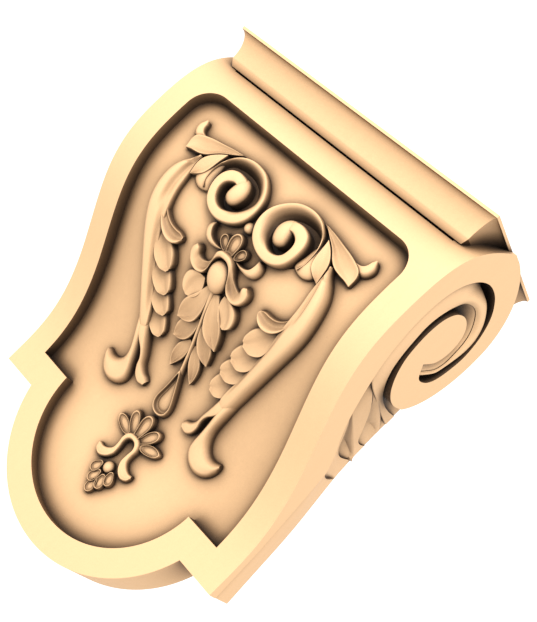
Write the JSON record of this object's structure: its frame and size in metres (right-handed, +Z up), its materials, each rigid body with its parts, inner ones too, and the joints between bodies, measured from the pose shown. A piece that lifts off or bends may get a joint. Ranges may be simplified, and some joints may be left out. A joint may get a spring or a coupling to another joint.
{
  "type": "acanthus corbel",
  "caption": "Carved wooden corbel: side volutes, a sunk front panel with scrolls and acanthus relief, a mitred cap moulding and a round drop below",
  "frame": {"origin": "centre of the flat wall face, half way between the flat top and the level foot of the body", "axes": "+Z up, +Y into the wall so the carved front faces -Y, +X to the right of a person who looks at the front"},
  "size_m": [0.2, 0.0924, 0.2788],
  "materials": {
    "carved_wood": "fine sanded, unpainted pale lime wood"
  },
  "bodies": {
    "root": {"corbel": "carved_wood"}
  },
  "joints": []
}
